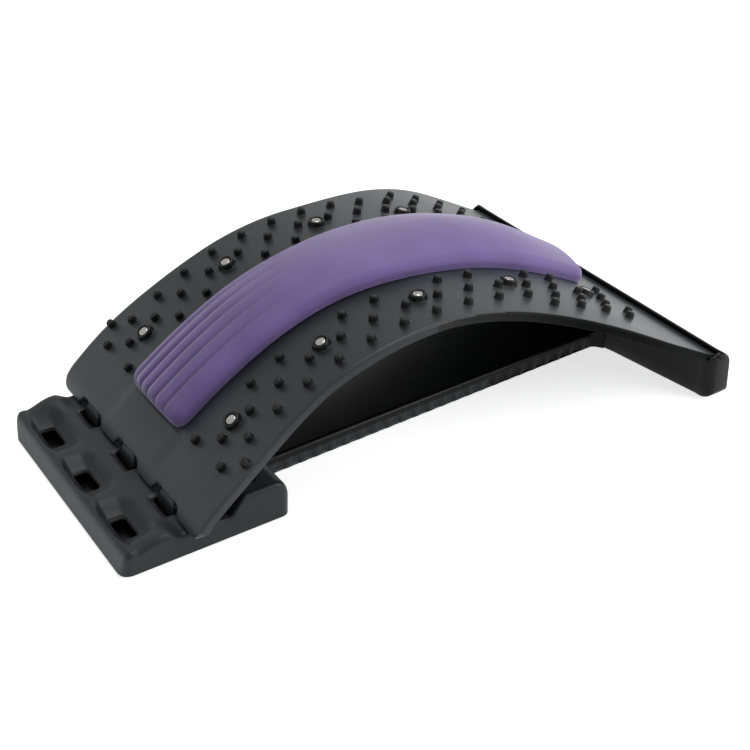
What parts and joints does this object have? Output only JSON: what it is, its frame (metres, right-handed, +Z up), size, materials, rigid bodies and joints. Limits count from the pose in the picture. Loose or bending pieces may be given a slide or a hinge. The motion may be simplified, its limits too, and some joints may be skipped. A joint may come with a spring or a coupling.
{
  "type": "arched back stretcher",
  "caption": "Arched back stretcher: a springy board with massage points, magnets and a soft spine pad, bowed between a slotted foot and a lipped bar.",
  "frame": {"origin": "on the floor, under the middle of the object's length and width", "axes": "+X along the length from the slotted foot to the lipped bar, +Y across to the back, +Z up"},
  "size_m": [0.3816, 0.2556, 0.1066],
  "materials": {
    "base_plastic": "moulded ABS, black, satin with a slight gloss",
    "board_plastic": "moulded charcoal plastic, fine matt texture",
    "pad_foam": "soft purple foam, smooth matt skin with shallow lengthwise grooves",
    "magnet_metal": "bright nickel plate",
    "foot_rubber": "black rubber"
  },
  "bodies": {
    "base": {"base_board": "base_plastic", "foot_left_front": "foot_rubber", "foot_left_back": "foot_rubber", "foot_right_front": "foot_rubber", "foot_right_back": "foot_rubber"},
    "arch": {"arch_board": "board_plastic", "spine_pad": "pad_foam", "magnet_front_1": "magnet_metal", "magnet_back_1": "magnet_metal", "magnet_front_2": "magnet_metal", "magnet_back_2": "magnet_metal", "magnet_front_3": "magnet_metal", "magnet_back_3": "magnet_metal", "magnet_front_4": "magnet_metal", "magnet_back_4": "magnet_metal", "magnet_front_5": "magnet_metal", "magnet_back_5": "magnet_metal"}
  },
  "joints": [
    {"name": "arch_release", "type": "hinge", "parent": "base", "child": "arch", "pos_m": [0.18138, 0, 0.02718], "axis": [0, 1, 0], "range_deg": [0, 30]}
  ]
}
